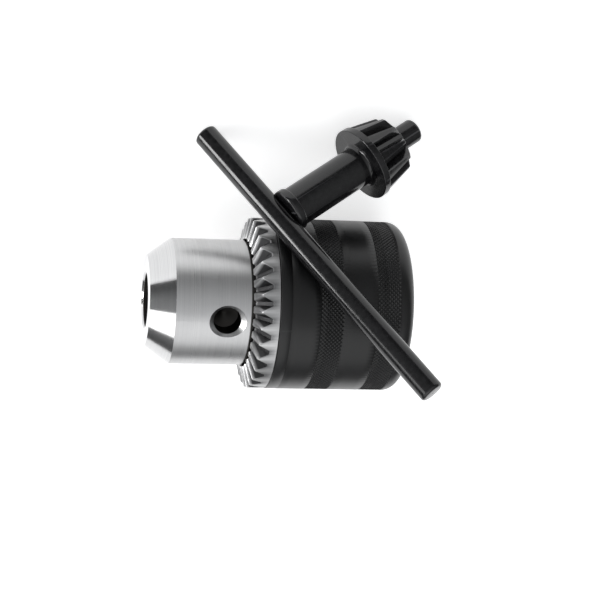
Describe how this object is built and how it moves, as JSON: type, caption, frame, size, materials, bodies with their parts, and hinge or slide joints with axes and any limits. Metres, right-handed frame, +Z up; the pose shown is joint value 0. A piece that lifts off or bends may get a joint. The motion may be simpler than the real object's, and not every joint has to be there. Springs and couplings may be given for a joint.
{
  "type": "keyed drill chuck",
  "caption": "Keyed drill chuck with a bevel gear ring, black knurled sleeve, sliding jaws and ball thrust bearing, with its black T-handle key beside it.",
  "frame": {"origin": "centre of the chuck's rear face, at the mouth of the spindle thread", "axes": "+X along the chuck's axis out of the spindle thread, the nose points to -X; +Z up from the floor it lies on; +Y the side where the key lies"},
  "size_m": [0.0675, 0.0674, 0.068],
  "materials": {
    "turned_steel": "fine turned, with a polished nose cone",
    "bright_steel": "ground and bright",
    "hardened_steel": "ground, oiled",
    "cage_steel": "pressed",
    "black_phosphate": "satin black phosphate",
    "black_oxide": "black oxide, semi-gloss, mottled"
  },
  "bodies": {
    "chuck": {"chuck_body": "turned_steel", "body_race": "hardened_steel"},
    "sleeve": {"gear_ring": "bright_steel", "grip_sleeve": "black_phosphate", "nut_half_a": "hardened_steel", "nut_half_b": "hardened_steel", "nut_race": "hardened_steel"},
    "cage": {"ball_cage": "cage_steel", "ball_1": "bright_steel", "ball_2": "bright_steel", "ball_3": "bright_steel", "ball_4": "bright_steel", "ball_5": "bright_steel", "ball_6": "bright_steel", "ball_7": "bright_steel", "ball_8": "bright_steel", "ball_9": "bright_steel", "ball_10": "bright_steel", "ball_11": "bright_steel", "ball_12": "bright_steel", "ball_13": "bright_steel", "ball_14": "bright_steel", "ball_15": "bright_steel", "ball_16": "bright_steel", "ball_17": "bright_steel", "ball_18": "bright_steel", "ball_19": "bright_steel", "ball_20": "bright_steel"},
    "jaw_1": {"jaw_1": "hardened_steel"},
    "jaw_2": {"jaw_2": "hardened_steel"},
    "jaw_3": {"jaw_3": "hardened_steel"},
    "key": {"key_shank": "black_oxide", "key_crossbar": "black_oxide"}
  },
  "joints": [
    {"name": "sleeve_spin", "type": "hinge", "parent": "chuck", "child": "sleeve", "pos_m": [-0.03, 0, 0], "axis": [1, 0, 0], "range_deg": [0, 3195]},
    {"name": "cage_spin", "type": "hinge", "parent": "chuck", "child": "cage", "pos_m": [-0.03, 0, 0], "axis": [1, 0, 0], "range_deg": [0, 1600]},
    {"name": "jaw_1_slide", "type": "slide", "parent": "chuck", "child": "jaw_1", "axis": [-0.9659, 0.1821, -0.184], "range_m": [0, 0.0222]},
    {"name": "jaw_2_slide", "type": "slide", "parent": "chuck", "child": "jaw_2", "axis": [-0.9659, 0.0683, 0.2496], "range_m": [0, 0.0222]},
    {"name": "jaw_3_slide", "type": "slide", "parent": "chuck", "child": "jaw_3", "axis": [-0.9659, -0.2503, -0.0657], "range_m": [0, 0.0222]},
    {"name": "key_lift", "type": "slide", "parent": "chuck", "child": "key", "axis": [0, 0, 1], "range_m": [0, 0.08]}
  ],
  "couplings": [
    {"joint": "cage_spin", "follows": "sleeve_spin", "ratio": 0.5},
    {"joint": "jaw_1_slide", "follows": "sleeve_spin", "m_per_rad": 0.00039789},
    {"joint": "jaw_2_slide", "follows": "sleeve_spin", "m_per_rad": 0.00039789},
    {"joint": "jaw_3_slide", "follows": "sleeve_spin", "m_per_rad": 0.00039789}
  ]
}
